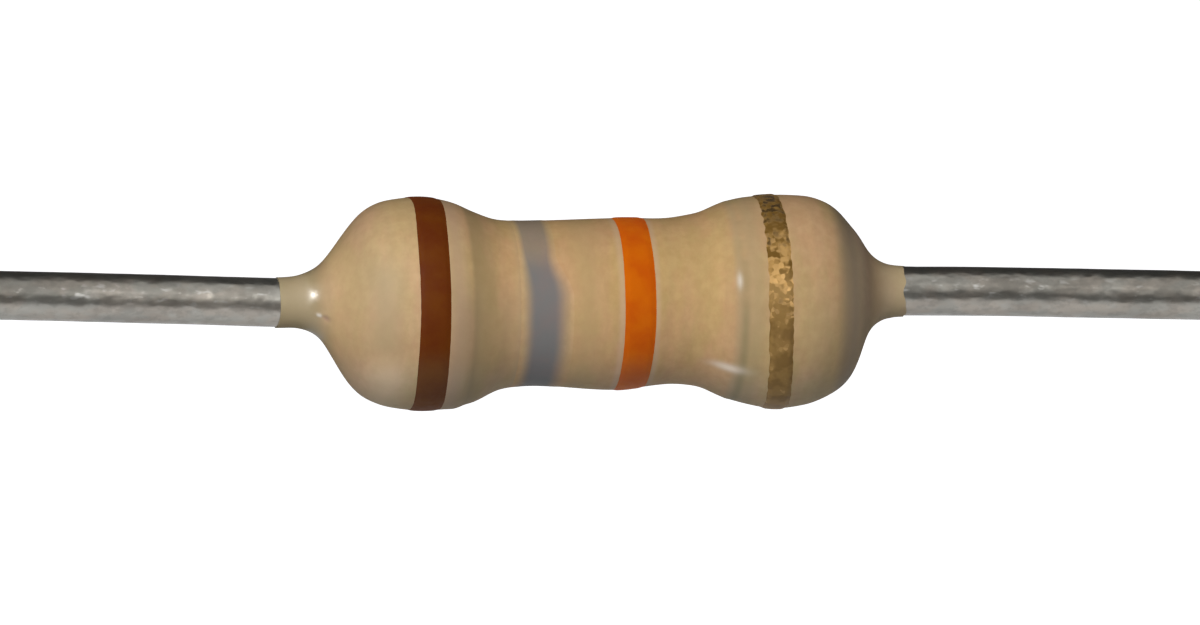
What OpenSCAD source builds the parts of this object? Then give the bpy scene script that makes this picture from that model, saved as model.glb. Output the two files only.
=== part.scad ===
// Axial carbon-film resistor, quarter watt size.
// X runs along the wires, Z is up, and the origin is the middle of the ceramic core. Millimetres.
// The core carries a carbon film with a helical groove. A cap is pressed on each end of it, a wire
// is butt-welded to each cap, and all of that is dipped in epoxy and painted with four rings.

/* [Core and film] */
// Diameter of the ceramic core
core_d = 1.60; // [1.3:0.05:2.4]
// Length of the ceramic core
core_l = 5.14; // [4.4:0.02:7]
// Bevel round the core's two ends
core_bevel = 0.06; // [0.02:0.01:0.15]
// Thickness of the carbon film
film_t = 0.020; // [0.01:0.005:0.05]
// Width of the groove that trims the film
groove_w = 0.13; // [0.05:0.01:0.25]
// Turns of the groove between the caps
groove_turns = 5; // [2:1:7]
// Plain film left between the groove and each cap's rim
groove_land = 0.30; // [0.15:0.05:0.5]

/* [End caps] */
// Sheet thickness of a cap
cap_wall = 0.18; // [0.12:0.01:0.25]
// Height of a cap from its face to its rim
cap_depth = 1.20; // [0.9:0.05:1.5]
// Radius of the bend between a cap's face and its side
cap_bend_r = 0.24; // [0.19:0.01:0.3]

/* [Wires] */
// Diameter of the wires
wire_d = 0.55; // [0.4:0.05:0.7]
// Length over both wires, cut end to cut end
overall_l = 26; // [16:1:63]
// Diameter of the upset head where a wire is welded to its cap
weld_d = 0.90; // [0.75:0.05:1.1]
// Height of that head
weld_h = 0.13; // [0.08:0.01:0.2]
// Extra radius that the weld leaves on a wire beside its head
root_swell = 0.010; // [0.005:0.005:0.02]
// Distance from the cap's face over which that extra radius dies away
root_l = 0.87; // [0.5:0.01:1.2]
// Bevel round a wire's cut end
wire_bevel = 0.04; // [0.01:0.01:0.1]
// How far the right wire is welded above the middle of its cap
right_wire_rise = 0.12; // [0:0.01:0.15]
// Angle by which the body's right end rises from the line of the wires
body_tilt = 1.6; // [0:0.1:3]

/* [Epoxy coating] */
// Thickness over a cap where the body is fattest
coat_on_cap = 0.19; // [0.12:0.01:0.35]
// Thickness over the film at the narrowest part of the waist
coat_on_film = 0.10; // [0.05:0.01:0.18]
// Extra thickness in the middle of the waist
waist_swell = 0.030; // [0:0.005:0.08]
// Thickness over the face of a cap
coat_on_face = 0.30; // [0.2:0.01:0.4]
// Distance from a cap's face in to the fattest ring of the body
crest_in = 0.73; // [0.5:0.01:0.9]
// Length of the slope from that ring down to the waist
slope_l = 1.15; // [0.8:0.05:1.4]
// Height of the rounded shoulder at each end
shoulder_h = 0.76; // [0.5:0.01:0.85]
// Radius of the collar where it leaves the shoulder
collar_r = 0.56; // [0.45:0.01:0.6]
// Length of the collar's hollow flare
flare_l = 0.42; // [0.2:0.01:0.5]
// Thickness of each collar's skin where its flare ends
neck_t = 0.030; // [0.02:0.005:0.05]
// Thickness of that skin at the collar's thin end
skin_t = 0.015; // [0.01:0.005:0.02]
// Reach of the left collar along its wire, from the cap's face
left_reach = 0.87; // [0.72:0.01:1.4]
// Reach of the right collar along its wire, from the cap's face
right_reach = 0.74; // [0.72:0.01:1.4]

/* [Colour rings] */
// Thickness of the paint
paint_t = 0.025; // [0.015:0.005:0.05]
// Distance of the brown ring's middle inwards from the left end's fattest ring
brown_in = 0.00; // [-0.2:0.01:0.3]
// Width of the brown ring
brown_w = 0.35; // [0.2:0.01:0.5]
// Middle of the grey ring along the body
grey_x = -0.75; // [-1:0.01:-0.4]
// Width of the grey ring
grey_w = 0.36; // [0.2:0.01:0.5]
// Middle of the orange ring along the body
orange_x = 0.34; // [0.1:0.01:0.6]
// Width of the orange ring
orange_w = 0.34; // [0.2:0.01:0.5]
// Distance of the gold ring's middle inwards from the right end's fattest ring
gold_in = 0.11; // [-0.2:0.01:0.3]
// Width of the gold ring
gold_w = 0.26; // [0.2:0.01:0.5]

/* [Hidden] */
$fn = 96;

// Clearance round the core, round the film and inside the coating's bore
fit_gap = 0.004;
// Columns of flat facets round the film, and the radii of their corners
film_facets = 32;
film_in_r = (core_d / 2 + fit_gap) / cos(180 / film_facets);
film_r = film_in_r + film_t;

// Caps: bore, outside, and how far each face and rim is from the middle
cap_bore_r = film_r + fit_gap;
cap_r = cap_bore_r + cap_wall;
cap_face_x = core_l / 2 + cap_wall;
cap_rim_x = cap_face_x - cap_depth;

// The groove's helix runs between the two plain lands
groove_x0 = -cap_rim_x + groove_land;
groove_pitch = 2 * -groove_x0 / groove_turns;
groove_steps = groove_turns * film_facets;

// Wires: their heights beside the body's middle
wire_r = wire_d / 2;
left_wire_z = -cap_face_x * sin(body_tilt);
right_wire_z = cap_face_x * sin(body_tilt) + right_wire_rise;

// Coating: radii and stations of its outline
crest_r = cap_r + coat_on_cap;
crest_x = cap_face_x - crest_in;
waist_r = film_r + fit_gap + coat_on_film;
waist_x = crest_x - slope_l;
shoulder_l = crest_in + coat_on_face;
collar_x = cap_face_x + coat_on_face / 2;
neck_r = wire_r + neck_t;
// Points along one slope, round one shoulder and along one flare
slope_steps = 14;
shoulder_steps = 14;
flare_steps = 10;

// Rises from 0 to 1 with a level start and end
function ease(t) = t * t * (3 - 2 * t);

// Radius of the waist and the slopes at distance a from the middle
function trunk_r(a) = a < waist_x
    ? waist_r + waist_swell * pow(cos(90 * a / waist_x), 2)
    : waist_r + (crest_r - waist_r) * ease((a - waist_x) / slope_l);

// The right half of the coating's outline as [x, radius], from the middle to the shoulder's end
half_outline = concat(
    [for (i = [0 : slope_steps]) let (x = waist_x * i / slope_steps) [x, trunk_r(x)]],
    [for (i = [1 : slope_steps]) let (x = waist_x + slope_l * i / slope_steps) [x, trunk_r(x)]],
    [for (i = [1 : shoulder_steps])
        let (a = 90 * i / shoulder_steps)
        [crest_x + shoulder_l * sin(a), crest_r - shoulder_h * (1 - cos(a))]]
);
last = len(half_outline) - 1;
outline = concat(
    [for (i = [last : -1 : 1]) [-half_outline[i].x, half_outline[i].y]],
    half_outline
);

// Turns children made along Z so that they lie along X
module along_x() {
    rotate([0, 90, 0])
        children();
}

// Tilts children from the line of the wires to the line of the body
module on_body() {
    rotate([0, -body_tilt, 0])
        children();
}

// Faces children made for the right end outwards at the left end, by a half turn about Z
module at_left_end() {
    rotate([0, 0, 180])
        children();
}

// Ceramic core: a plain rod with bevelled ends
module ceramic_core() {
    r = core_d / 2;
    color("#e9e4d8")
        on_body() along_x() rotate_extrude()
            polygon([
                [0, -core_l / 2], [r - core_bevel, -core_l / 2], [r, -core_l / 2 + core_bevel],
                [r, core_l / 2 - core_bevel], [r - core_bevel, core_l / 2], [0, core_l / 2]
            ]);
}

// Corner point of the film on column k, at radius r and station x
function film_point(k, r, x) = [x, -r * sin(360 * k / film_facets), r * cos(360 * k / film_facets)];

// Middle of the groove after t of its steps, and half its width there: it closes at both ends
function groove_x(t) = groove_x0 + groove_pitch * t / film_facets;
function groove_half(t) = t == 0 || t == groove_steps ? 0 : groove_w / 2;

// The four rows of points of one face of the film: end rings, then the groove's two edges.
// The groove's edges meet at its first and last point.
function film_rows(r) = concat(
    [for (k = [0 : film_facets - 1]) film_point(k, r, -core_l / 2)],
    [for (k = [0 : film_facets - 1]) film_point(k, r, core_l / 2)],
    [for (t = [0 : groove_steps]) film_point(t, r, groove_x(t) - groove_half(t))],
    [for (t = [1 : groove_steps - 1]) film_point(t, r, groove_x(t) + groove_half(t))]
);

// Carbon film: a thin sleeve cut into a ribbon by one helical groove
module carbon_film() {
    n = film_facets;
    s = groove_steps;
    // Places of the points in the rows above
    function left(k) = k % n;
    function right(k) = n + k % n;
    function low(t) = 2 * n + t;
    function high(t) = t == 0 || t == s ? low(t) : 2 * n + s + t;
    row = 2 * n + 2 * s;
    // The ribbon above step t of the groove ends at the groove's next turn, or at the sleeve's end
    function above(t) = t <= s - n ? low(t + n) : right(t);
    first_turn = concat(
        [for (k = [0 : n - 2]) [left(k), left(k + 1), low(k + 1), low(k)]],
        [[left(n - 1), left(n), low(0), low(n), low(n - 1)]]
    );
    ribbon = concat(
        [for (t = [0 : s - 1]) if (t != s - n) [high(t), high(t + 1), above(t + 1), above(t)]],
        [[right(1), right(0), low(s), high(s - n), high(s - n + 1)]]
    );
    face = concat(first_turn, ribbon);
    // Walls join the outer face to the inner one along the groove and round both ends
    function wall(a, b) = [[a, b, b + row], [a, b + row, a + row]];
    walls = concat(
        [for (t = [0 : s - 1]) each wall(low(t), low(t + 1))],
        [for (t = [0 : s - 1]) each wall(high(t + 1), high(t))],
        [for (k = [0 : n - 1]) each wall(left(k + 1), left(k))],
        [for (k = [0 : n - 1]) each wall(right(k), right(k + 1))]
    );
    inner = [for (f = face) [for (i = [len(f) - 1 : -1 : 0]) f[i] + row]];
    color("#3b3a3c")
        on_body()
            polyhedron(concat(film_rows(film_r), film_rows(film_in_r)), concat(face, inner, walls));
}

// The outside of a cap as a solid plug, its face at z = 0 and its rim at z = -cap_depth
module cap_plug() {
    rotate_extrude() {
        translate([0, -cap_depth])
            square([cap_r - cap_bend_r, cap_depth]);
        translate([0, -cap_depth])
            square([cap_r, cap_depth - cap_bend_r]);
        translate([cap_r - cap_bend_r, -cap_bend_r])
            intersection() {
                circle(cap_bend_r);
                square(cap_bend_r);
            }
    }
}

// End cap: a drawn steel cup pressed over the filmed core
module end_cap() {
    color("#b9bbbd")
        translate([cap_face_x, 0, 0]) along_x()
            difference() {
                cap_plug();
                translate([0, 0, -cap_depth - 1])
                    cylinder(r = cap_bore_r, h = cap_depth + 1 - cap_wall);
            }
}

module left_end_cap() {
    on_body() at_left_end() end_cap();
}

module right_end_cap() {
    on_body() end_cap();
}

// One wire with its upset head, running on past the cap's face into the body
module wire_blank() {
    along_x() rotate_extrude()
        polygon([
            [0, cap_rim_x], [weld_d / 2, cap_rim_x], [weld_d / 2, cap_face_x + weld_h / 3],
            [wire_r + root_swell, cap_face_x + weld_h], [wire_r, cap_face_x + root_l],
            [wire_r, overall_l / 2 - wire_bevel], [wire_r - wire_bevel, overall_l / 2],
            [0, overall_l / 2]
        ]);
}

module left_wire_blank() {
    translate([0, 0, left_wire_z]) at_left_end() wire_blank();
}

module right_wire_blank() {
    translate([0, 0, right_wire_z]) wire_blank();
}

// What lies between the two cap faces: it trims a wire square to its cap
module between_faces() {
    on_body()
        cube([2 * cap_face_x, 4 * cap_r, 4 * cap_r], center = true);
}

module left_lead() {
    color("#a7a9ab")
        difference() {
            left_wire_blank();
            between_faces();
        }
}

module right_lead() {
    color("#a7a9ab")
        difference() {
            right_wire_blank();
            between_faces();
        }
}

// Hollow flared collar of epoxy round a wire, from inside the shoulder to its thin end
module collar(reach) {
    flare_end = collar_x + flare_l;
    along_x() rotate_extrude()
        polygon(concat(
            [[0, cap_face_x]],
            [[collar_r, cap_face_x]],
            [for (i = [0 : flare_steps])
                let (a = 90 * i / flare_steps)
                [collar_r - (collar_r - neck_r) * sin(a), flare_end - flare_l * cos(a)]],
            [[wire_r + skin_t, cap_face_x + reach], [0, cap_face_x + reach]]
        ));
}

// Epoxy coating: one moulded-looking skin round the core, the caps and the roots of the wires
module epoxy_coating() {
    color("#d3b795")
        difference() {
            union() {
                on_body() along_x() rotate_extrude()
                    polygon(concat(
                        [[0, outline[0].x]],
                        [for (p = outline) [p.y, p.x]],
                        [[0, -outline[0].x]]
                    ));
                translate([0, 0, left_wire_z]) at_left_end() collar(left_reach);
                translate([0, 0, right_wire_z]) collar(right_reach);
            }
            on_body() along_x()
                cylinder(r = film_r + fit_gap, h = 2 * cap_rim_x + cap_depth, center = true);
            on_body() translate([cap_face_x, 0, 0]) along_x() cap_plug();
            on_body() at_left_end() translate([cap_face_x, 0, 0]) along_x() cap_plug();
            left_wire_blank();
            right_wire_blank();
        }
}

// A ring of paint on the coating, centred at x and w wide
module band(x, w) {
    x0 = x - w / 2;
    x1 = x + w / 2;
    seat = concat(
        [[x0, lookup(x0, outline)]],
        [for (p = outline) if (p.x > x0 && p.x < x1) p],
        [[x1, lookup(x1, outline)]]
    );
    on_body() along_x() rotate_extrude()
        polygon(concat(
            [for (p = seat) [p.y, p.x]],
            [for (i = [len(seat) - 1 : -1 : 0]) [seat[i].y + paint_t, seat[i].x]]
        ));
}

module brown_band() {
    color("#6b2f14") band(brown_in - crest_x, brown_w);
}

module grey_band() {
    color("#8d8f9b") band(grey_x, grey_w);
}

module orange_band() {
    color("#e0560c") band(orange_x, orange_w);
}

module gold_band() {
    color("#a97a34") band(crest_x - gold_in, gold_w);
}

ceramic_core();
carbon_film();
left_end_cap();
right_end_cap();
left_lead();
right_lead();
epoxy_coating();
brown_band();
grey_band();
orange_band();
gold_band();
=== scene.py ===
"""Looks of an axial carbon-film resistor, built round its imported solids.

The sections follow the part as it is put together: core, film, caps, wires, epoxy, colour rings.
Meshes are worked out in millimetres and turned into metres as they are made.
"""

import math

import bpy
import numpy as np
from mathutils import Matrix, Vector


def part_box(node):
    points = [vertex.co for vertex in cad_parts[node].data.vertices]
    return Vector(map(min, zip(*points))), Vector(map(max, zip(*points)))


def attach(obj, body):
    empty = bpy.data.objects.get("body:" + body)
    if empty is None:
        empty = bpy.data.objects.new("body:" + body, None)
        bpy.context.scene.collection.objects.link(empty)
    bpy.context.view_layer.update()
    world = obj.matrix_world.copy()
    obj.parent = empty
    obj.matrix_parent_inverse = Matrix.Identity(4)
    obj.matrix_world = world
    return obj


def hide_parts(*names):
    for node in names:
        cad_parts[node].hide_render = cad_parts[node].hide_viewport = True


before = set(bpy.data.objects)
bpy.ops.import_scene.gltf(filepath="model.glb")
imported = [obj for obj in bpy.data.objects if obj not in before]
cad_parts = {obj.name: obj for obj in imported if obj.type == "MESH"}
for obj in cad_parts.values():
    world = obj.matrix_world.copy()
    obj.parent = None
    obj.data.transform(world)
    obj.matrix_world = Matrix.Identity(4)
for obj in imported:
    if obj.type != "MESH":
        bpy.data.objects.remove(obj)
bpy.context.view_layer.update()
mm = 0.001


# ---- Ceramic core ------------------------------------------------------------------------------
# A rod of white steatite that carries the film. It is fired, then tumbled, so its skin is matt and
# finely grained with a few grey specks. It hides inside the film and the caps.

def node(tree, kind, *feeds, **settings):
    """Adds one shader node and gives its first output. Feeds fill its sockets in order; a setting with
    a capital fills the socket of that name, and one without is a choice of the node's own."""
    made = tree.nodes.new("ShaderNode" + kind)
    for name, value in settings.items():
        if name[0].islower():
            setattr(made, name, value)
    named = [(name.replace("_", " "), value) for name, value in settings.items() if name[0].isupper()]
    for key, value in [*enumerate(feeds), *named]:
        if isinstance(value, bpy.types.NodeSocket):
            tree.links.new(value, made.inputs[key])
        elif value is not None:
            made.inputs[key].default_value = value
    return next(iter(made.outputs), None)


def blend(tree, share, first, second, way="MIX"):
    """Mixes two colours: a share of 0 is the first and 1 the second."""
    made = node(tree, "Mix", share, data_type="RGBA", blend_type=way).node
    for key, colour in (("A_Color", first), ("B_Color", second)):
        socket = next(s for s in made.inputs if s.identifier == key)
        if isinstance(colour, bpy.types.NodeSocket):
            tree.links.new(colour, socket)
        else:
            socket.default_value = (*colour, 1)
    return next(s for s in made.outputs if s.identifier == "Result_Color")


def tinted(tree, colour, tint):
    """A colour multiplied by a tint."""
    return blend(tree, 1.0, colour, tint, "MULTIPLY")


def ease(tree, value, start, end, low=0.0, high=1.0):
    """A value that goes smoothly from low to high as another goes from start to end."""
    return node(tree, "MapRange", value, start, end, low, high, interpolation_type="SMOOTHSTEP")


def maths(tree, operation, *feeds):
    """The result of one operation, named as Blender names it, on the values fed in."""
    return node(tree, "Math", *feeds, operation=operation)


def place_in_mm(tree, stretch=(1, 1, 1)):
    """Object coordinates in millimetres, with each axis stretched."""
    where = node(tree, "TexCoord").node.outputs["Object"]
    return node(tree, "Mapping", where, Scale=tuple(s / mm for s in stretch))


def grain(tree, where, scale, detail=2.0, roughness=0.5):
    """Cloudy noise about 0.5, with its lumps a millimetre / scale wide."""
    return node(tree, "TexNoise", Vector=where, Scale=scale, Detail=detail, Roughness=roughness)


def new_material(name):
    """An empty material with its Principled shader joined to its output."""
    made = bpy.data.materials.new(name)
    made.use_nodes = True
    made.node_tree.nodes.clear()
    shader = node(made.node_tree, "BsdfPrincipled").node
    node(made.node_tree, "OutputMaterial", shader.outputs[0])
    return made, made.node_tree, shader


def feed(tree, shader, **sockets):
    """Fills the shader's sockets, each with a plain value or from another socket."""
    for name, value in sockets.items():
        socket = shader.inputs[name.replace("_", " ")]
        if isinstance(value, bpy.types.NodeSocket):
            tree.links.new(value, socket)
        else:
            socket.default_value = value


def relief(tree, height, depth):
    """A normal from a height of 0 to 1 that stands for a depth in millimetres."""
    return node(tree, "Bump", Height=height, Distance=depth * mm, Strength=1.0)


def coat_node(name, material):
    """Gives a solid that is shown as it is its finish."""
    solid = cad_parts[name]
    solid.data.materials.clear()
    solid.data.materials.append(material)


steatite, tree, shader = new_material("steatite")
where = place_in_mm(tree)
clouds = grain(tree, where, 1.5, 3)
specks = ease(tree, grain(tree, where, 12, 2), 0.66, 0.72)
body = blend(tree, clouds, (0.80, 0.78, 0.72), (0.72, 0.69, 0.62))
feed(
    tree, shader,
    Base_Color=blend(tree, specks, body, (0.42, 0.40, 0.36)),
    Roughness=ease(tree, clouds, 0.3, 0.7, 0.62, 0.78),
    Normal=relief(tree, grain(tree, where, 25, 4), 0.004),
)
coat_node("ceramic_core", steatite)


# ---- Carbon film -------------------------------------------------------------------------------
# A skin of hard carbon grown on the core from hot gas, then trimmed to its value by a groove cut
# round it. It is near black with a dull sheen, and its solid already has the groove.

carbon, tree, shader = new_material("carbon")
where = place_in_mm(tree)
sheen = grain(tree, where, 2.5, 3)
soot = grain(tree, where, 30, 3)
feed(
    tree, shader,
    Base_Color=blend(tree, sheen, (0.022, 0.021, 0.022), (0.060, 0.058, 0.060)),
    Roughness=ease(tree, soot, 0.3, 0.7, 0.30, 0.48),
    Normal=relief(tree, soot, 0.0015),
)
coat_node("carbon_film", carbon)


# ---- End caps ----------------------------------------------------------------------------------
# Two cups drawn from thin steel, tinned, and pressed over the filmed core. The press leaves fine
# lines along the side of each cup, and the tin is dull where it has been handled.

def tin_group():
    """Shared tin plate: cloudy dullness, a fine mottle, lines left by the die along X, soft dents."""
    group = bpy.data.node_groups.new("tin_plate", "ShaderNodeTree")
    for name in ("Line Depth", "Dent Depth"):
        group.interface.new_socket(name, in_out="INPUT", socket_type="NodeSocketFloat")
    for name in ("Dullness", "Mottle", "Height"):
        group.interface.new_socket(name, in_out="OUTPUT", socket_type="NodeSocketFloat")
    given = group.nodes.new("NodeGroupInput")
    lines = grain(group, place_in_mm(group, (0.4, 1, 1)), 16, 2)
    clouds = grain(group, place_in_mm(group, (0.55, 1, 1)), 3.2, 3, 0.6)
    mottle = grain(group, place_in_mm(group, (0.8, 1, 1)), 10, 3, 0.65)
    dents = grain(group, place_in_mm(group, (0.7, 1, 1)), 7.0, 1)
    height = maths(
        group, "ADD",
        maths(group, "MULTIPLY", lines, given.outputs["Line Depth"]),
        maths(group, "MULTIPLY", dents, given.outputs["Dent Depth"]),
    )
    result = group.nodes.new("NodeGroupOutput")
    for name, value in (("Dullness", clouds), ("Mottle", mottle), ("Height", height)):
        group.links.new(value, result.inputs[name])
    return group


def tin(tree, line_depth, dent_depth):
    """Places the tin plate group and gives its three outputs."""
    made = tree.nodes.new("ShaderNodeGroup")
    made.node_tree = tin_plate
    made.inputs["Line Depth"].default_value = line_depth
    made.inputs["Dent Depth"].default_value = dent_depth
    return [made.outputs[name] for name in ("Dullness", "Mottle", "Height")]


tin_plate = tin_group()
cap_steel, tree, shader = new_material("tinned_cap_steel")
dullness, mottle, height = tin(tree, 0.5, 0.5)
feed(
    tree, shader,
    Metallic=1.0,
    Base_Color=blend(tree, dullness, (0.62, 0.61, 0.58), (0.46, 0.45, 0.43)),
    Roughness=ease(tree, dullness, 0.3, 0.7, 0.24, 0.42),
    Normal=relief(tree, height, 0.004),
)
coat_node("left_end_cap", cap_steel)
coat_node("right_end_cap", cap_steel)


# ---- Wires -------------------------------------------------------------------------------------
# Two lengths of tinned, copper-clad steel wire. Each is upset into a small head as it is butt-welded
# to its cap, and cropped square at its free end. It is a little uneven from straightening.

wire_r = 0.275
wire_columns = 96
wire_step = 0.030
crop_bevel = 0.04
# Ripples of the plain wire: their height, how far from the cap's face they begin, and their fade
ripple_height = 0.0036
ripple_start = 0.9
ripple_fade = 0.3
# How far from the cap's face the rings take to stand square to the wire
lean_length = 0.45
sharp_edge = math.radians(50)
# Outline beside the cap's face as (distance from the face, radius): the head, then the fillet
head_outline = [(0.0, 0.45), (0.045, 0.45), (0.13, 0.285), (0.45, 0.279), (0.87, wire_r)]
# How far each wire strays from its line, as (distance from its crop, height)
left_stray = [(0, 0), (4.0, 0.010), (6.2, 0.019), (8.0, 0.013), (9.4, 0.002), (10.3, 0)]
right_stray = [(0, 0), (4.0, 0.016), (6.3, 0.022), (8.5, 0.018), (9.9, 0.0), (10.3, 0)]


def through(stations, x):
    """A curve through each (place, height) station that never overshoots. Its slope at a station is
    the harmonic mean of the slopes on both sides, or level where they oppose, and between stations it
    is the cubic with those heights and slopes."""
    place, height = np.array(stations, float).T
    gap = np.diff(place)
    rise = np.diff(height) / gap
    before, after = rise[:-1], rise[1:]
    slope = np.concatenate([rise[:1], np.zeros(len(gap) - 1), rise[-1:]])
    agree = before * after > 0
    slope[1:-1][agree] = 2 * (before * after)[agree] / (before + after)[agree]
    k = np.clip(np.searchsorted(place, x) - 1, 0, len(gap) - 1)
    t = np.clip((x - place[k]) / gap[k], 0, 1)
    bend = (1 - t) * (slope[k] - rise[k]) - t * (slope[k + 1] - rise[k])
    return height[k] + gap[k] * (rise[k] * t + t * (1 - t) * bend)


def ripple(along, turn, seed, waves, longest, shortest, most_turns):
    """Gentle unevenness of a round thing, about 0 and within 1: the mean of cosine waves, each with its
    own length along the thing, its whole number of waves round it, and its start."""
    draw = np.random.default_rng(seed)
    length = np.geomspace(longest, shortest, waves)
    rounds = draw.integers(0, most_turns + 1, waves) * draw.choice([-1, 1], waves)
    start = draw.uniform(0, 2 * np.pi, waves)
    weight = np.sqrt(length / longest)
    total = sum(
        share * np.cos(2 * np.pi * along / wave + whole * turn + first)
        for share, wave, whole, first in zip(weight, length, rounds, start)
    )
    return total / weight.sum()


def new_piece(name, rings, material, ends_closed, **attributes):
    """A smooth surface through rings of points (ring, column, xyz), outwards if the columns run
    anticlockwise seen from the last ring. The last ring joins the first, or flat faces close both."""
    count, columns = rings.shape[:2]
    ring = np.arange(count if not ends_closed else count - 1)[:, None]
    column = np.arange(columns)[None, :]
    next_ring = (ring + 1) % count
    next_column = (column + 1) % columns
    corners = [
        ring * columns + column, ring * columns + next_column,
        next_ring * columns + next_column, next_ring * columns + column,
    ]
    faces = np.stack(corners, axis=-1).reshape(-1, 4).tolist()
    if ends_closed:
        faces.append(list(range(columns))[::-1])
        faces.append(list(range((count - 1) * columns, count * columns)))
    mesh = bpy.data.meshes.new(name)
    mesh.from_pydata((rings.reshape(-1, 3) * mm).tolist(), [], faces)
    mesh.polygons.foreach_set("use_smooth", np.ones(len(faces), bool))
    mesh.set_sharp_from_angle(angle=sharp_edge)
    for key, values in attributes.items():
        stored = mesh.attributes.new(key, "FLOAT", "POINT")
        stored.data.foreach_set("value", np.broadcast_to(values, rings.shape[:2]).ravel())
    mesh.materials.append(material)
    piece = bpy.data.objects.new(name, mesh)
    bpy.context.scene.collection.objects.link(piece)
    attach(piece, "root")
    return piece


def body_line():
    """The body's own direction: the way in which the core's solid is longest."""
    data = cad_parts["ceramic_core"].data
    points = np.empty(3 * len(data.vertices))
    data.vertices.foreach_get("co", points)
    points = points.reshape(-1, 3)
    line = np.linalg.svd(points - points.mean(axis=0), full_matrices=False)[2][0]
    return line * np.sign(line[0])


tilt = math.asin(body_line()[2])


def wire_rings(node_name, side, stray, seed):
    """Rings of one wire from its cap to its crop. Radius follows the head's outline and then the plain
    wire, with about a hundredth of it in ripples, and the middle strays by a curve of the distance from
    the crop. The first ring lies on the cap's face, which tilts as the body does, and the next rings
    lean less and less until they are square."""
    low, high = (np.array(corner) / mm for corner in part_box(node_name))
    end = abs(high if side > 0 else low)[0]
    height = (low + high)[2] / 2
    head_r = head_outline[0][1]
    face = min(abs(low[0]), abs(high[0])) + head_r * abs(math.sin(tilt))
    plain = np.arange(face + head_outline[-1][0], end - crop_bevel, wire_step)
    x = np.concatenate([[face + d for d, _ in head_outline[:-1]], plain, [end - crop_bevel, end]])
    radius = np.concatenate([[r for _, r in head_outline[:-1]], np.full(len(plain) + 1, wire_r)])
    radius = np.append(radius, wire_r - crop_bevel)[:, None]
    turn = np.linspace(0, 2 * np.pi, wire_columns, endpoint=False)[None, :]
    x = x[:, None]
    free = np.clip((x - face - ripple_start) / ripple_fade, 0, 1) * np.clip((end - x) / ripple_fade, 0, 1)
    ripples = ripple(x, turn, seed, waves=18, longest=2.6, shortest=0.20, most_turns=6)
    radius = radius + free * ripple_height * ripples
    above = radius * np.cos(turn)
    lean = np.clip(1 - (x - face) / lean_length, 0, 1) * above * math.tan(tilt)
    middle = height + through(stray, end - x)
    return np.stack(np.broadcast_arrays(
        side * x - lean, -side * radius * np.sin(turn), middle + above
    ), axis=-1)


def attribute(tree, name):
    """A number stored at each point of the piece's own mesh."""
    return node(tree, "Attribute", attribute_name=name).node.outputs["Fac"]


def layer(tree, mask, strength, under, colour):
    """Lays a colour over another, as strongly as a mask and a share say."""
    return blend(tree, maths(tree, "MULTIPLY", mask, strength), under, colour)


def bump(distance, width):
    """A round swelling: 1 in the middle, and fading as the bell curve of that width."""
    return np.exp(-((distance / width) ** 2))


# Dull tin drifting between two greys, with painted highlight spots and darker patches just above its
# middle
wire_tin, tree, shader = new_material("tinned_wire")
dullness, mottle, height = tin(tree, 0.05, 1.0)
tarnish = ease(tree, dullness, 0.35, 0.65)
stained = attribute(tree, "stained")
patches = ease(tree, grain(tree, place_in_mm(tree, (0.5, 1, 1)), 4.2, 3, 0.6), 0.40, 0.56)
highlight_flecks = ease(tree, grain(tree, place_in_mm(tree, (0.5, 1, 1)), 11, 2), 0.56, 0.74)
cast = ease(tree, grain(tree, place_in_mm(tree, (0.6, 1, 1)), 4.5, 2), 0.40, 0.60)
metal = blend(tree, tarnish, (0.297, 0.287, 0.255), (0.246, 0.237, 0.210))
metal = blend(tree, cast, tinted(tree, metal, (1.03, 0.97, 0.94)), metal)
metal = layer(tree, ease(tree, mottle, 0.55, 0.35), 0.22, metal, (0.12, 0.116, 0.105))
# Darker patches, then painted highlight spots, in the strip where the shine falls
metal = layer(tree, patches, maths(tree, "MULTIPLY", stained, 0.60), metal, (0.150, 0.143, 0.124))
metal = layer(tree, highlight_flecks, stained, metal, (0.47, 0.46, 0.43))
feed(
    tree, shader,
    Metallic=1.0,
    Base_Color=metal,
    Roughness=ease(tree, mottle, 0.3, 0.7, 0.38, 0.28),
    Normal=relief(tree, height, 0.015),
)
turn = np.linspace(0, 2 * np.pi, wire_columns, endpoint=False)[None, :]
for node_name, side, stray, seed in (
    ("left_lead", -1, left_stray, 11),
    ("right_lead", 1, right_stray, 23),
):
    wire = new_piece(
        node_name.replace("lead", "wire"), wire_rings(node_name, side, stray, seed), wire_tin,
        ends_closed=True, stained=bump(np.cos(turn) - 0.18, width=0.38),
    )
    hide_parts(node_name)


# ---- Epoxy coating -----------------------------------------------------------------------------
# Tan epoxy that the part is rolled in, in several coats. It bulges over the caps, thins over the
# film, and creeps out along each wire in a collar that ends in a thin skin.

coat_columns = 256
coat_step = 0.024
# Rings are evenly spaced between these places, and a few more reach out to the skin's end on each wire
even_from = -3.3
even_to = 3.2
reach_rings = 12
# The outside as (place along the body, radius)
coat_outline = [
    (-3.62, 0.285), (-3.46, 0.288), (-3.32, 0.320), (-3.16, 0.404), (-3.03, 0.566), (-2.92, 0.730),
    (-2.78, 0.922), (-2.62, 1.066), (-2.38, 1.160), (-2.02, 1.199), (-1.66, 1.161), (-1.42, 1.071),
    (-1.10, 0.948), (-0.80, 0.925), (0.22, 0.965), (0.78, 0.931), (1.12, 0.970), (1.42, 1.092),
    (1.70, 1.163), (2.03, 1.199), (2.36, 1.171), (2.58, 1.098), (2.74, 0.995), (2.93, 0.757),
    (3.05, 0.490), (3.18, 0.355), (3.34, 0.295), (3.56, 0.281),
]
# Where the outline's middle leaves the body's line for each wire's
left_shift = (2.75, 3.30)
right_shift = (2.84, 3.14)
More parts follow.
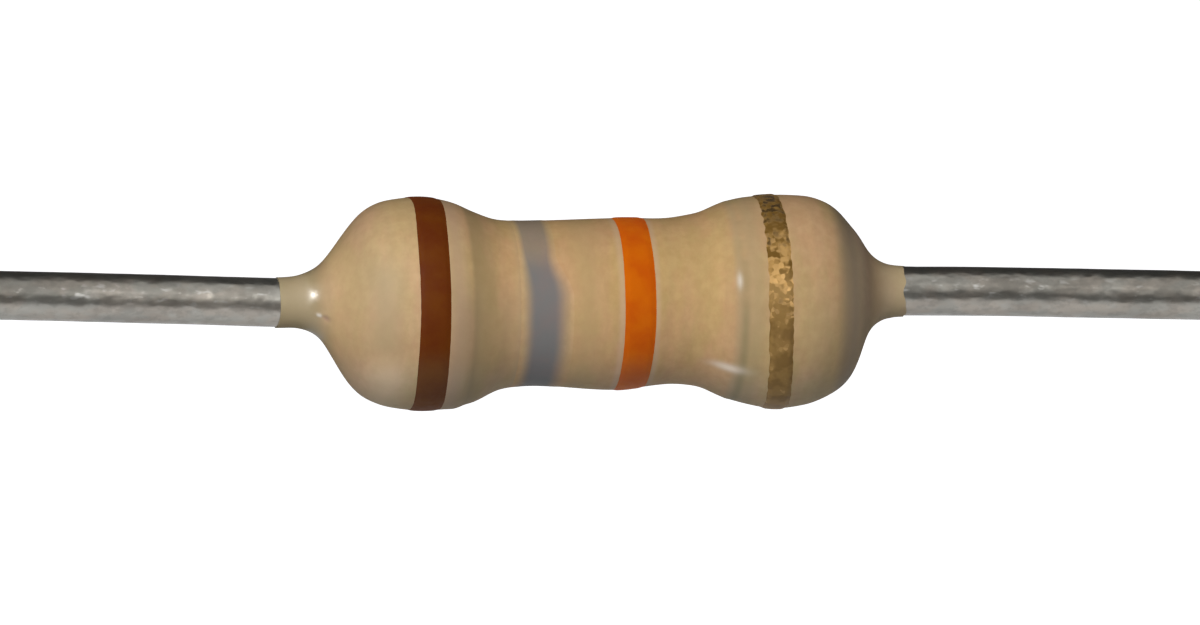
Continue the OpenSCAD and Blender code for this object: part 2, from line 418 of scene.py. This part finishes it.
# How far the rolled epoxy hangs above or below the body's line, as (place, height)
coat_sag = [
    (-3.62, 0.0), (-3.15, 0.026), (-2.98, 0.004), (-2.82, -0.014), (-2.50, 0.006), (-1.90, -0.002),
    (-1.42, -0.036), (-1.05, -0.012), (-0.70, -0.002), (0.12, -0.020), (0.55, -0.002), (1.15, 0.024),
    (1.55, 0.018), (2.00, -0.004), (2.62, 0.018), (2.88, -0.004), (3.00, 0.020), (3.12, -0.004),
    (3.50, 0.0),
]
# Small marks as (place along the body, turn, radius there): a pit and a raised lip, and two painted
# highlights
pit_place = (-3.14, 1.99, 0.43)
lip_place = (-3.215, 1.95, 0.38)
scuff_place = (1.370, 2.32, 1.05)
glint_place = (1.45, 1.33, 1.09)
left_wire_z, right_wire_z = (
    sum(corner[2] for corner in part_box(name)) / 2 / mm for name in ("left_lead", "right_lead")
)
coat_low, coat_high = (corner[0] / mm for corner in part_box("epoxy_coating"))


def smooth(t):
    """0 up to 0, 1 from 1 on, and between them 3 t squared less 2 t cubed, level at both ends."""
    t = np.clip(t, 0, 1)
    return t * t * (3 - 2 * t)


def wire_rise(along):
    """How far a ring's middle is above the body's line: nought on the body, then eased over to the
    line of the wire on that side."""
    rise = 0
    sides = ((left_wire_z, -along, left_shift), (right_wire_z, along, right_shift))
    for wire_z, outward, (start, end) in sides:
        wire_line = wire_z / math.cos(tilt) - along * math.tan(tilt)
        rise = rise + wire_line * smooth((outward - start) / (end - start))
    return rise


def evened(curve, along):
    """A curve averaged over 0.08 mm on both sides, so that its bends run into each other."""
    taps = ((-0.08, 0.11), (-0.04, 0.22), (0.0, 0.34), (0.04, 0.22), (0.08, 0.11))
    return sum(share * curve(along + step) for step, share in taps)


def on_coat(along, turn, lift=0.0):
    """Points on the outside of the epoxy, or lifted off it: the coat's radius about a middle that hangs
    by the sag and moves over to the wires."""
    rise = evened(lambda place: wire_rise(place) + through(coat_sag, place), along)
    return on_body(along, turn, coat_radius(along, turn) + lift, rise)


def on_body(along, turn, radius, rise):
    """Points at a place along the body, a turn from the top towards the front, and a radius about a
    middle that rises from the body's line, carried from that tilted line to the part's own axes."""
    up = rise + radius * np.cos(turn)
    front = -radius * np.sin(turn)
    x = along * math.cos(tilt) - up * math.sin(tilt)
    z = along * math.sin(tilt) + up * math.cos(tilt)
    return np.stack(np.broadcast_arrays(x, front, z), axis=-1)


def spot(along, turn, place, width, long_ways=1.0):
    """A round bump about a (place along the body, turn, radius there), or one drawn out along it."""
    centre, facing, radius = place
    round_ways = np.arctan2(np.sin(turn - facing), np.cos(turn - facing)) * radius
    return bump(np.hypot((along - centre) / long_ways, round_ways), width)


def coat_radius(along, turn):
    """Outside radius of the epoxy. The outline's evened curve, plus slow lumps from the rolling, a low
    ridge where it steps over the right cap's rim, a crease beside the left cap's, and a pit with a
    raised lip beside the left collar."""
    outline = evened(lambda place: through(coat_outline, place), along)
    body = np.clip((3.05 - np.abs(along)) / 0.5, 0, 1)
    lumps = 0.0050 * ripple(along, turn, seed=5, waves=12, longest=4.0, shortest=0.9, most_turns=3)
    broken = 0.6 + 0.4 * ripple(0 * turn, turn, seed=8, waves=9, longest=1.0, shortest=1.0, most_turns=14)
    ridge = 0.007 * bump(along - 1.455, width=0.045) * broken
    crease = 0.003 * bump(along + 1.64, width=0.07) - 0.010 * bump(along + 1.53, width=0.07)
    crease = crease * (0.5 - 0.5 * np.cos(turn))
    pit = -0.020 * spot(along, turn, pit_place, width=0.035)
    lip = 0.010 * spot(along, turn, lip_place, width=0.030)
    return outline + body * lumps + ridge + crease + pit + lip


def skin_ends(turn):
    """Where the thin skin ends on each wire: nearly square on the left, and ragged on the right."""
    left = coat_low + 0.008 * np.cos(turn - 1.0) + 0.004 * np.cos(3 * turn) - 0.026
    ragged = 0.45 * np.cos(2 * turn + 0.4) + 0.35 * np.cos(5 * turn + 1.1) + 0.2 * np.cos(9 * turn + 2.0)
    right = coat_high + 0.035 * ragged - 0.02
    return left, right


turn = np.linspace(0, 2 * np.pi, coat_columns, endpoint=False)[None, :]
left_end, right_end = skin_ends(turn)
even = np.arange(even_from, even_to, coat_step)[:, None]
reach = np.linspace(0, 1, reach_rings)[:, None]
outside_along = np.concatenate([
    left_end + reach * (even[0] - coat_step - left_end),
    np.broadcast_to(even, (len(even), coat_columns)),
    right_end + (even[-1] + coat_step - right_end) * reach[::-1],
])
outside = on_coat(outside_along, turn)
# The inside lies a hair outside the caps, the film and the wires' heads: (place, radius)
cap_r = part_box("left_end_cap")[1][1] / mm
film_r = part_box("carbon_film")[1][1] / mm
clear = 0.003
inside_half = [
    (0.0, film_r + clear), (1.545, film_r + clear), (1.548, cap_r + clear), (2.52, cap_r + clear),
    (2.68, cap_r - 0.06), (2.757, cap_r - 0.22), (2.76, 0.455), (2.89, 0.455), (2.90, 0.290),
]
left_inside = [(-place, radius) for place, radius in inside_half[:0:-1]]
inside = np.array([*left_inside, *inside_half])[::-1]
inner_along = np.concatenate([
    right_end, np.broadcast_to(inside[:, :1], (len(inside), coat_columns)), left_end
])
skin_r = wire_r - 0.002
inner_radius = np.concatenate([[skin_r], inside[:, 1], [skin_r]])[:, None]
coat_rings = np.concatenate([outside, on_body(inner_along, turn, inner_radius, wire_rise(inner_along))])
coat_along = np.concatenate([outside_along, inner_along])


def epoxy_group():
    """Shared tan epoxy: a colour that drifts between pinker and greener and is finely mottled, faint
    streaks round the body from the rolling, and the height of its orange peel on slow dimples."""
    group = bpy.data.node_groups.new("tan_epoxy", "ShaderNodeTree")
    group.interface.new_socket("Color", in_out="OUTPUT", socket_type="NodeSocketColor")
    group.interface.new_socket("Height", in_out="OUTPUT", socket_type="NodeSocketFloat")
    drift = ease(group, grain(group, place_in_mm(group, (2.2, 0.8, 0.8)), 1.1, 3), 0.38, 0.62)
    streaks = ease(group, grain(group, place_in_mm(group, (5.0, 0.7, 0.7)), 1.1, 3), 0.35, 0.65)
    fine = grain(group, place_in_mm(group), 9, 3, 0.6)
    tone = blend(group, drift, (0.676, 0.422, 0.224), (0.636, 0.434, 0.203))
    tone = blend(group, streaks, tinted(group, tone, (0.93, 0.94, 0.95)), tone)
    mottle = ease(group, grain(group, place_in_mm(group, (1.5, 1, 1)), 5.5, 3, 0.65), 0.35, 0.65)
    tone = blend(group, mottle, tinted(group, tone, (0.93, 0.94, 0.90)), tone)
    speckle = ease(group, fine, 0.30, 0.70)
    tone = blend(group, speckle, tinted(group, tone, (0.95, 0.91, 0.90)), tone)
    dimples = maths(group, "MULTIPLY", grain(group, place_in_mm(group, (1.6, 1, 1)), 2.4, 1), 5.0)
    result = group.nodes.new("NodeGroupOutput")
    group.links.new(tone, result.inputs["Color"])
    group.links.new(maths(group, "ADD", fine, dimples), result.inputs["Height"])
    return group


def epoxy(tree):
    """Places the tan epoxy group and gives its colour and height."""
    made = tree.nodes.new("ShaderNodeGroup")
    made.node_tree = tan_epoxy
    return made.outputs["Color"], made.outputs["Height"]


def ring_mask(tree, along, centre, half_width):
    """1 in the middle of a ring round the body, easing to 0 at half its width on each side."""
    away = maths(tree, "ABSOLUTE", maths(tree, "SUBTRACT", along, centre))
    return ease(tree, away, 0.0, half_width, 1.0, 0.0)


def both(tree, first, second):
    """As much of a place as two masks share."""
    return maths(tree, "MULTIPLY", first, second)


def either(tree, first, second):
    """The stronger of two masks."""
    return maths(tree, "MAXIMUM", first, second)


def epoxy_skin(tree, shader, colour, roughness, peel):
    """Gives a colour the satin skin of the epoxy: a thin clear layer that darkens it towards its
    outline, and orange peel."""
    feed(
        tree, shader,
        Base_Color=colour,
        Roughness=roughness,
        Specular_IOR_Level=0.45,
        Coat_Weight=1.0,
        Coat_Roughness=0.40,
        Coat_IOR=1.03,
        Coat_Tint=(0.88, 0.88, 0.87, 1),
        Normal=relief(tree, peel, 0.0012),
    )


tan_epoxy = epoxy_group()
tan_coat, tree, shader = new_material("tan_coat")
tan, peel = epoxy(tree)
along = attribute(tree, "along")
height = node(tree, "SeparateXYZ", place_in_mm(tree)).node.outputs["Z"]
lower = ease(tree, height, 0.45, -0.15)
underside = ease(tree, height, -0.55, -0.95)
cone_front = both(tree, ease(tree, height, 0.7, 0.2), ease(tree, height, -0.80, -0.45))
waist = ease(tree, maths(tree, "ABSOLUTE", along), 1.0, 1.9, 1.0, 0.0)
dashes = ease(tree, grain(tree, place_in_mm(tree, (0.3, 1, 1)), 3.5, 2), 0.35, 0.65)
# Darker low down and in dashes, for the stripe behind the right cap's rim
low_and_dashed = either(tree, lower, maths(tree, "MULTIPLY", dashes, 0.6))
# Stains, painted shade and painted light on the rolled epoxy, each over the ones before it, as (where,
# how strongly, colour)
stains = [
    # The foot of the left cone and both collars, where the coats thin out, then painted shade on the
    # right cone
    (ring_mask(tree, along, -3.00, 0.30), 0.30, (0.64, 0.42, 0.18)),
    (ease(tree, along, -3.30, -3.00, 1.0, 0.0), 0.80, (0.352, 0.291, 0.163)),
    (ease(tree, along, 2.95, 3.25), 0.55, (0.46, 0.40, 0.265)),
    # Painted shade on the right cone's shoulder, where it turns away from the light
    (both(tree, ease(tree, along, 2.53, 2.71), ease(tree, along, 2.76, 2.90, 1.0, 0.0)),
     0.70, (0.31, 0.235, 0.158)),
    # Painted shade in the crease beside the left cap's rim
    (both(tree, ease(tree, along, -1.61, -1.54), ease(tree, along, -1.52, -1.22, 1.0, 0.0)),
     0.65, (0.36, 0.25, 0.11)),
    # Pale lines on both sides of the orange ring, and the dull strip beside the brown one
    (either(tree, ring_mask(tree, along, 0.14, 0.07), ring_mask(tree, along, 0.54, 0.06)),
     0.40, (0.70, 0.475, 0.33)),
    (ring_mask(tree, along, -1.76, 0.18), 0.55, (0.51, 0.335, 0.215)),
    # Shades low down: on the left slope of the waist, on the right bulge and round the crease
    (both(tree, ring_mask(tree, along, -1.18, 0.34), lower), 0.35, (0.45, 0.33, 0.18)),
    (both(tree, ring_mask(tree, along, 2.40, 0.34), lower), 0.28, (0.45, 0.33, 0.19)),
    (both(tree, ring_mask(tree, along, -1.64, 0.30), lower), 0.56, (0.33, 0.235, 0.13)),
    # The left cone: painted shade at its front and painted light underneath
    (both(tree, ring_mask(tree, along, -2.57, 0.34), cone_front), 0.70, (0.44, 0.325, 0.165)),
    (both(tree, ring_mask(tree, along, -2.50, 0.34), ease(tree, height, -0.50, -0.85)),
     0.60, (0.83, 0.60, 0.34)),
    # Faint greyer and darker rings round the body
    (ring_mask(tree, along, -0.95, 0.17), 0.38, (0.45, 0.34, 0.23)),
    (ring_mask(tree, along, -0.26, 0.32), 0.50, (0.53, 0.355, 0.165)),
    (ring_mask(tree, along, 2.92, 0.26), 0.35, (0.56, 0.48, 0.42)),
    (ring_mask(tree, along, 1.60, 0.22), 0.55, (0.42, 0.325, 0.170)),
    # The right cap's rim, and a darker stripe behind it, deepest towards the bottom and broken into
    # dashes
    (ring_mask(tree, along, 1.450, 0.08), 0.50, (0.43, 0.325, 0.180)),
    (both(tree, ring_mask(tree, along, 1.515, 0.08), low_and_dashed), 0.65, (0.285, 0.24, 0.118)),
]
# Small marks as (the attribute that says where, how strongly, colour)
# Their colours are painted light: highlights on the glint, the streak and the lip, and shade in the pit
marks = [
    ("glint", 0.65, (0.90, 0.84, 0.73)),
    ("scuff", 1.0, (0.93, 0.78, 0.62)),
    ("pit", 0.7, (0.35, 0.20, 0.15)),
    ("lip", 0.9, (0.90, 0.84, 0.76)),
]
coat_colour = blend(tree, waist, tan, tinted(tree, tan, (1.0, 0.965, 0.88)))
for stain, share, colour in stains:
    coat_colour = layer(tree, stain, share, coat_colour, colour)
# Painted cool bounce light on the bottom of the coat
coat_colour = layer(tree, underside, 0.9, coat_colour, tinted(tree, coat_colour, (0.99, 1.08, 1.24)))
for mark, share, colour in marks:
    coat_colour = layer(tree, attribute(tree, mark), share, coat_colour, colour)
# The left collar is still wet with gloss, and the rest is satin
wet = ring_mask(tree, along, -3.22, 0.20)
epoxy_skin(tree, shader, coat_colour, ease(tree, wet, 0.0, 1.0, 0.75, 0.285), peel)
coating = new_piece(
    "epoxy_coat", coat_rings, tan_coat, ends_closed=False,
    along=coat_along,
    # Where the painted highlights and the pit's painted shade lie
    scuff=spot(coat_along, turn, scuff_place, width=0.056, long_ways=3.2),
    glint=spot(coat_along, turn, glint_place, width=0.085, long_ways=0.34),
    pit=spot(coat_along, turn, pit_place, width=0.032),
    lip=spot(coat_along, turn, lip_place, width=0.022),
)
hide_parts("epoxy_coating")


# ---- Colour rings ------------------------------------------------------------------------------
# Four rings of paint rolled on by wheels: brown, grey, orange, and gold for the tolerance. Each is
# about a hundredth of a millimetre thick with soft edges, and the grey and gold ones are worn thin.

paint_rows = 22
paint_columns = 384
paint_sunk = 0.010
soft_share = 0.18


def paint_ring(colour, material, left_edge, right_edge, thickness, worn=None):
    """The closed ring of a colour on the epoxy, sunk a hair into it. Its edges are given as functions of
    the turn, and its height eases up over a share of the width at each edge. How far it is worn
    through, from 0 to 1, may be a function of the turn too."""
    turn = np.linspace(0, 2 * np.pi, paint_columns, endpoint=False)[None, :]
    across = 0.5 - 0.5 * np.cos(np.linspace(0, np.pi, paint_rows))[:, None]
    low, high = left_edge(turn), right_edge(turn)
    along = low + (high - low) * across
    top = on_coat(along, turn, thickness * smooth(np.minimum(across, 1 - across) / soft_share))
    under_across = np.array([[1.0], [0.5], [0.0]])
    under_along = low + (high - low) * under_across
    under = on_coat(under_along, turn, -paint_sunk)
    ring = new_piece(
        f"{colour}_ring", np.concatenate([top, under]), material, ends_closed=False,
        across=np.concatenate([across, under_across]),
        worn=0 * turn if worn is None else worn(turn),
    )
    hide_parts(f"{colour}_band")


def hand_edge(base, seed, sway, fray, extra=None):
    """A ring's edge as its place along the body by turn: a base, slow sway, fine fraying, and whatever
    one more function of the turn adds."""
    def edge(turn):
        slow = ripple(0 * turn, turn, seed, waves=6, longest=1.0, shortest=1.0, most_turns=5)
        fine = ripple(0 * turn, turn, seed + 1, waves=14, longest=1.0, shortest=1.0, most_turns=60)
        place = base + sway * slow
        place = place + fray * fine
        return place if extra is None else place + extra(turn)
    return edge


def paint(name, deep, bright, roughness, scale, film):
    """A flat paint that is blotchy between two colours, with a fine pebbled skin, and as much painted
    shade, darker and greener, on its underside as the film share says."""
    material, tree, shader = new_material(name)
    where = place_in_mm(tree)
    blotch = ease(tree, grain(tree, where, scale, 3, 0.6), 0.3, 0.7)
    fine = grain(tree, where, 14, 2)
    height = node(tree, "SeparateXYZ", where).node.outputs["Z"]
    # Painted shade: darker and greener towards the bottom, as strongly as film says
    underside = ease(tree, height, -0.45, -0.85)
    feed(
        tree, shader,
        Base_Color=layer(tree, underside, film, blend(tree, blotch, deep, bright), (0.14, 0.19, 0.11)),
        Roughness=ease(tree, fine, 0.3, 0.7, roughness - 0.05, roughness + 0.05),
        Specular_IOR_Level=0.10,
        Normal=relief(tree, fine, 0.0012),
    )
    return material


def brown_skew(turn):
    """The brown ring sits a little further right at the top and the bottom than at the front."""
    return 0.045 * bump(turn - 0.25, 0.5) + 0.035 * bump(turn - 2.9, 0.5)


brown_paint = paint(
    "brown_paint", (0.110, 0.0190, 0.0), (0.134, 0.031, 0.0), roughness=0.7, scale=2.6, film=0.12,
)
paint_ring(
    "brown", brown_paint,
    hand_edge(-2.195, seed=31, sway=0.008, fray=0.003, extra=brown_skew),
    hand_edge(-1.850, seed=33, sway=0.008, fray=0.003, extra=brown_skew),
    thickness=0.007,
)

orange_paint = paint(
    "orange_paint", (0.55, 0.088, 0.001), (0.61, 0.125, 0.001), roughness=0.6, scale=3.0, film=0.20,
)
paint_ring(
    "orange", orange_paint,
    hand_edge(0.166, seed=41, sway=0.012, fray=0.003),
    hand_edge(0.518, seed=43, sway=0.012, fray=0.003),
    thickness=0.008,
)

grey_paint, tree, shader = new_material("grey_paint")
tan, peel = epoxy(tree)
across = attribute(tree, "across")
where = place_in_mm(tree)
blotch = ease(tree, grain(tree, where, 2.2, 3, 0.6), 0.3, 0.7)
grey = blend(tree, blotch, (0.196, 0.190, 0.182), (0.222, 0.185, 0.173))
edges = either(tree, ease(tree, across, 0.0, 0.30, 1.0, 0.0), ease(tree, across, 0.62, 1.0))
thin = either(tree, edges, maths(tree, "MULTIPLY", attribute(tree, "worn"), 0.32))
epoxy_skin(tree, shader, blend(tree, thin, grey, tan), 0.7, peel)


def low_front(turn, first, last, fade=0.45):
    """1 over the turns between two limits, easing off outside them."""
    return smooth(np.clip((turn - first) / fade + 1, 0, 1) * np.clip((last - turn) / fade + 1, 0, 1))


def grey_bulge(turn):
    """The grey ring's right edge stands out over the front, where the wheel left most paint."""
    return 0.17 * low_front(turn, 1.45, 3.0, 0.55) + 0.03 * bump(turn - 4.6, 0.6)


def grey_worn(turn):
    """It is thin over the top."""
    return 1 - low_front(turn, 1.2, 5.0)


paint_ring(
    "grey", grey_paint,
    hand_edge(-1.012, seed=51, sway=0.008, fray=0.004),
    hand_edge(-0.580, seed=53, sway=0.008, fray=0.004, extra=grey_bulge),
    thickness=0.004, worn=grey_worn,
)

# Gold flakes each lean their own way and lie in a dull brown binder, which shows where they are worn
flake_lean = 0.31
gold_paint, tree, shader = new_material("gold_paint")
tan = epoxy(tree)[0]
where = place_in_mm(tree)
height = node(tree, "SeparateXYZ", where).node.outputs["Z"]
flake = node(
    tree, "TexVoronoi", feature="SMOOTH_F1", Vector=where, Scale=20.0, Smoothness=0.45, Randomness=1.0,
).node
shade = node(tree, "SeparateColor", flake.outputs["Color"]).node.outputs["Green"]
patch = ease(tree, grain(tree, where, 6, 2), 0.40, 0.60)
worn = attribute(tree, "worn")
cover = maths(tree, "ADD", maths(tree, "MULTIPLY", patch, 0.5), shade)
cover = maths(tree, "SUBTRACT", cover, maths(tree, "MULTIPLY", worn, 0.75))
bare = ease(tree, cover, 0.46, 1.14)
aside = node(tree, "VectorMath", flake.outputs["Color"], (0.5, 0.5, 0.5), operation="SUBTRACT")
lean = node(tree, "VectorMath", aside, (flake_lean,) * 3, operation="MULTIPLY")
leaning = node(tree, "VectorMath", lean, Scale=bare, operation="SCALE")
upright = node(tree, "NewGeometry").node.outputs["Normal"]
tilted = node(tree, "VectorMath", upright, leaning, operation="ADD")
dull = blend(tree, patch, (0.155, 0.082, 0.016), (0.235, 0.133, 0.034))
metal = blend(tree, shade, (0.46, 0.255, 0.072), (0.70, 0.430, 0.168))
# Painted shade: the flakes turn dull towards the top
metal = layer(tree, ease(tree, height, 0.36, 0.62), 0.36, metal, dull)
# Painted highlight: a paler band of binder a little above the middle
dull = layer(tree, ring_mask(tree, height, 0.22, 0.36), 0.50, dull, (0.50, 0.31, 0.115))
binder = layer(tree, worn, 0.10, dull, tan)
feed(
    tree, shader,
    Base_Color=blend(tree, bare, binder, metal),
    Metallic=bare,
    Roughness=ease(tree, bare, 0.0, 1.0, 0.50, 0.36),
    Specular_IOR_Level=0.10,
    Normal=node(tree, "VectorMath", tilted, operation="NORMALIZE"),
)


def gold_skew(turn):
    """The gold ring runs off to the right as it comes down to the bottom."""
    return 0.085 * bump(turn - 3.0, 0.8)


def gold_worn(turn):
    """Its flakes are rubbed away low on the front and underneath."""
    return low_front(turn, 1.85, 3.6, 0.40)


paint_ring(
    "gold", gold_paint,
    hand_edge(1.770, seed=61, sway=0.014, fray=0.028, extra=gold_skew),
    hand_edge(2.035, seed=63, sway=0.010, fray=0.020, extra=gold_skew),
    thickness=0.012, worn=gold_worn,
)


# ---- Table, lights and camera ------------------------------------------------------------------
# The part hangs over a white table in white air, lit by a broad soft lamp high on the left that is kept
# out of the shine. Two small lamps, and dark card low in front and overhead to behind, show only there.

def stage_sheet(name, points, size, material):
    """A grid of points (row, column, xyz) in millimetres as a plain sheet of the set."""
    rows, columns = size
    index = np.arange(rows * columns).reshape(rows, columns)
    faces = np.stack([index[:-1, :-1], index[:-1, 1:], index[1:, 1:], index[1:, :-1]], axis=-1)
    mesh = bpy.data.meshes.new(name)
    mesh.from_pydata((points.reshape(-1, 3) * mm).tolist(), [], faces.reshape(-1, 4).tolist())
    mesh.materials.append(material)
    sheet = bpy.data.objects.new(name, mesh)
    bpy.context.scene.collection.objects.link(sheet)
    return sheet


def light_path(tree, *kinds):
    """1 for a ray of any of the kinds, else 0."""
    path = node(tree, "LightPath").node
    total = path.outputs[kinds[0]]
    for kind in kinds[1:]:
        total = either(tree, total, path.outputs[kind])
    return total


# The table is white in view and in the shine, and a little shaded near the part, mostly behind it
floor_drop = 15
floor_half = 900
floor_paint, tree, shader = new_material("white_floor")
feed(tree, shader, Base_Color=(0.49, 0.51, 0.57, 1), Roughness=0.9, Specular_IOR_Level=0.1)
where = place_in_mm(tree)
spread = node(tree, "VectorMath", where, operation="LENGTH").node.outputs["Value"]
rearward = node(tree, "SeparateXYZ", where).node.outputs["Y"]
seen = light_path(tree, "Is Camera Ray", "Is Glossy Ray", "Is Transmission Ray")
near = ease(tree, spread, 20, 120, 1.0, 0.0)
behind = ease(tree, rearward, -4, 6, 0.08, 0.34)
in_view = ease(tree, light_path(tree, "Is Camera Ray"), 0.0, 1.0, 1.0, 0.5)
shaded = maths(tree, "MULTIPLY", maths(tree, "MULTIPLY", near, behind), in_view)
glow = maths(tree, "SUBTRACT", 1.0, shaded)
feed(
    tree, shader,
    Emission_Color=(1, 1, 1, 1),
    Emission_Strength=maths(tree, "MULTIPLY", seen, glow),
)
edge = np.linspace(-floor_half, floor_half, 3)
floor_x, floor_y = np.meshgrid(edge, edge)
floor_points = np.stack([floor_x, floor_y, np.full_like(floor_x, -floor_drop)], axis=-1)
stage_sheet("floor", floor_points, (3, 3), floor_paint)

world = bpy.data.worlds.new("studio")
bpy.context.scene.world = world
world.use_nodes = True
tree = world.node_tree
tree.nodes.clear()
fill = 0.204
seen = light_path(tree, "Is Camera Ray", "Is Glossy Ray", "Is Transmission Ray")
strength = ease(tree, seen, 0.0, 1.0, fill, 1.0)
background = node(tree, "Background", (1, 1, 1, 1), strength)
node(tree, "OutputWorld", background)


def lamp(name, towards, distance, size, power):
    """A rectangular lamp in a direction from the part, at a distance, that faces it."""
    data = bpy.data.lights.new(name, "AREA")
    data.shape = "RECTANGLE"
    data.size, data.size_y = (s * mm for s in size)
    data.energy = power
    made = bpy.data.objects.new(name, data)
    facing = Vector(towards).normalized()
    made.location = facing * distance * mm
    made.rotation_mode = "QUATERNION"
    made.rotation_quaternion = facing.to_track_quat("Z", "Y")
    bpy.context.scene.collection.objects.link(made)
    return made


def direction(azimuth, elevation):
    """Unit vector at an azimuth from the front, positive to the right, and an elevation."""
    a, e = math.radians(azimuth), math.radians(elevation)
    return (math.sin(a) * math.cos(e), -math.cos(a) * math.cos(e), math.sin(e))


soft_lamp = lamp("soft_lamp", direction(-31, 24.5), distance=70, size=(56, 42), power=0.0451)
soft_lamp.visible_glossy = False
front_spark = lamp("front_spark", direction(12, 28), distance=70, size=(34, 7), power=0.0009)
front_spark.visible_diffuse = False
# The last is a narrow spot close to the wet collar on the left and aimed at it
collar_middle = Vector((-3.25, 0, -0.05)) * mm
collar_distance = 12.5 * mm
spot_data = bpy.data.lights.new("collar_spark", "SPOT")
spot_data.energy = 0.0165
spot_data.shadow_soft_size = 1.5 * mm
spot_data.spot_size = math.radians(19)
spot_data.spot_blend = 0.3
collar_spark = bpy.data.objects.new("collar_spark", spot_data)
towards = Vector(direction(-33, 23.5))
collar_spark.location = collar_middle + towards * collar_distance
collar_spark.rotation_mode = "QUATERNION"
collar_spark.rotation_quaternion = towards.to_track_quat("Z", "Y")
collar_spark.visible_camera = False
collar_spark.visible_diffuse = False
bpy.context.scene.collection.objects.link(collar_spark)


def card(name, lowest, highest, darkest, lightest):
    """A strip of card bent round the X axis between two angles above the front, hidden from all but
    the shine, in which its brightness wanders between two limits along it."""
    paint, tree, shader = new_material(name)
    patches = grain(tree, place_in_mm(tree, (1, 0.15, 0.15)), 0.8, 2)
    feed(
        tree, shader,
        Base_Color=(0, 0, 0, 1), Specular_IOR_Level=0.0,
        Emission_Color=(1, 1, 1, 1),
        Emission_Strength=ease(tree, patches, 0.38, 0.62, darkest, lightest),
    )
    radius, half_length = 19, 90
    angle = np.radians(np.linspace(lowest, highest, 25))[:, None]
    x = np.linspace(-half_length, half_length, 2)[None, :]
    points = np.stack(np.broadcast_arrays(x, -radius * np.cos(angle), radius * np.sin(angle)), axis=-1)
    strip = stage_sheet(name, points, (25, 2), paint)
    strip.visible_camera = False
    strip.visible_diffuse = False
    strip.visible_shadow = False
    strip.visible_transmission = False


card("lens_card", lowest=-34, highest=2, darkest=0.17, lightest=0.36)
card("rear_card", lowest=84, highest=200, darkest=0.06, lightest=0.10)

# The camera looks along a line a little left of the front, turned so that the wires fall to the right
view_width = 13.46 * mm
camera_distance = 200 * mm
camera_data = bpy.data.cameras.new("camera")
camera_data.type = "ORTHO"
camera_data.ortho_scale = view_width
camera = bpy.data.objects.new("camera", camera_data)
bpy.context.scene.collection.objects.link(camera)
bpy.context.scene.camera = camera
back = Vector(direction(-9.5, 2.5))
wire_fall = math.radians(1.6)
aim = Vector((0.039, 0, -0.112)) * mm
right = Vector((0, 0, 1)).cross(back).normalized()
up = back.cross(right)
stand = Matrix((right, up, back)).transposed() @ Matrix.Rotation(wire_fall, 3, "Z")
camera.matrix_world = Matrix.Translation(aim + back * camera_distance) @ stand.to_4x4()
camera_data.clip_start = 10 * mm
camera_data.clip_end = 4.0
bpy.context.scene.view_settings.view_transform = "Standard"
